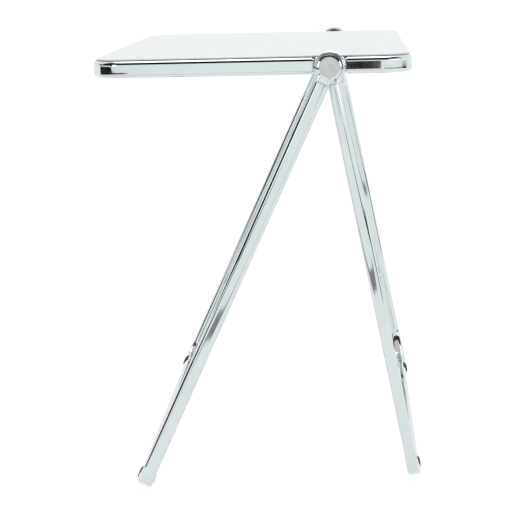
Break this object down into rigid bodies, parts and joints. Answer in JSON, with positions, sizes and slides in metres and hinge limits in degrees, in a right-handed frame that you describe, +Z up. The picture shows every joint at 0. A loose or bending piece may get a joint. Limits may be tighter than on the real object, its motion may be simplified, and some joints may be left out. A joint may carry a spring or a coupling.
{
  "type": "folding desk",
  "caption": "Folding desk: white top in a chromed rim on two U-shaped chromed leg frames that share one hub axis.",
  "frame": {"origin": "on the floor under the middle of the desk's outline, with the desk standing open", "axes": "+Z up; +Y along the hub axis, the desk's width; -X towards the user, +X towards the rear legs"},
  "size_m": [0.5318, 0.8512, 0.73],
  "materials": {
    "chromed_steel": "bright chrome on bent steel tube and castings",
    "zinc_plated_steel": "bright zinc plating",
    "brushed_cap": "matt, finely brushed",
    "black_nylon": "matt moulded nylon",
    "black_rubber": "matt rubber",
    "white_laminate": "fine pebble, low sheen",
    "board": "pressed board, sealed white below"
  },
  "bodies": {
    "front_legs": {"front_leg_frame": "chromed_steel", "front_hub_casting_left": "chromed_steel", "hub_cap_left": "brushed_cap", "pivot_bolt_left": "zinc_plated_steel", "pivot_nut_left": "zinc_plated_steel", "stop_pin_left": "zinc_plated_steel", "outer_washer_left": "black_nylon", "inner_washer_left": "black_nylon", "front_leg_screw_left": "zinc_plated_steel", "front_glide_left": "black_rubber", "front_hub_casting_right": "chromed_steel", "hub_cap_right": "brushed_cap", "pivot_bolt_right": "zinc_plated_steel", "pivot_nut_right": "zinc_plated_steel", "stop_pin_right": "zinc_plated_steel", "outer_washer_right": "black_nylon", "inner_washer_right": "black_nylon", "front_leg_screw_right": "zinc_plated_steel", "front_glide_right": "black_rubber"},
    "rear_legs": {"rear_leg_frame": "chromed_steel", "rear_hub_casting_left": "chromed_steel", "rear_leg_screw_left": "zinc_plated_steel", "rear_glide_left": "black_rubber", "rear_hub_casting_right": "chromed_steel", "rear_leg_screw_right": "zinc_plated_steel", "rear_glide_right": "black_rubber"},
    "desk_top": {"rim_front_tube": "chromed_steel", "rim_rear_tube": "chromed_steel", "rim_hub_casting_left": "chromed_steel", "rim_hub_casting_right": "chromed_steel", "rim_screw_front_left": "zinc_plated_steel", "rim_screw_front_right": "zinc_plated_steel", "rim_screw_rear_left": "zinc_plated_steel", "rim_screw_rear_right": "zinc_plated_steel", "rim_tab_front_left": "zinc_plated_steel", "rim_tab_front_right": "zinc_plated_steel", "rim_tab_rear_left": "zinc_plated_steel", "rim_tab_rear_right": "zinc_plated_steel", "tab_screw_front_left": "zinc_plated_steel", "tab_screw_front_right": "zinc_plated_steel", "tab_screw_rear_left": "zinc_plated_steel", "tab_screw_rear_right": "zinc_plated_steel", "top_skin": "white_laminate", "top_core": "board"}
  },
  "joints": [
    {"name": "rear_legs_fold", "type": "hinge", "parent": "front_legs", "child": "rear_legs", "pos_m": [0.12114, 0, 0.706], "axis": [0, 1, 0], "range_deg": [0, 35.9]},
    {"name": "top_fold", "type": "hinge", "parent": "front_legs", "child": "desk_top", "pos_m": [0.12114, 0, 0.706], "axis": [0, 1, 0], "range_deg": [0, 115.2]}
  ]
}
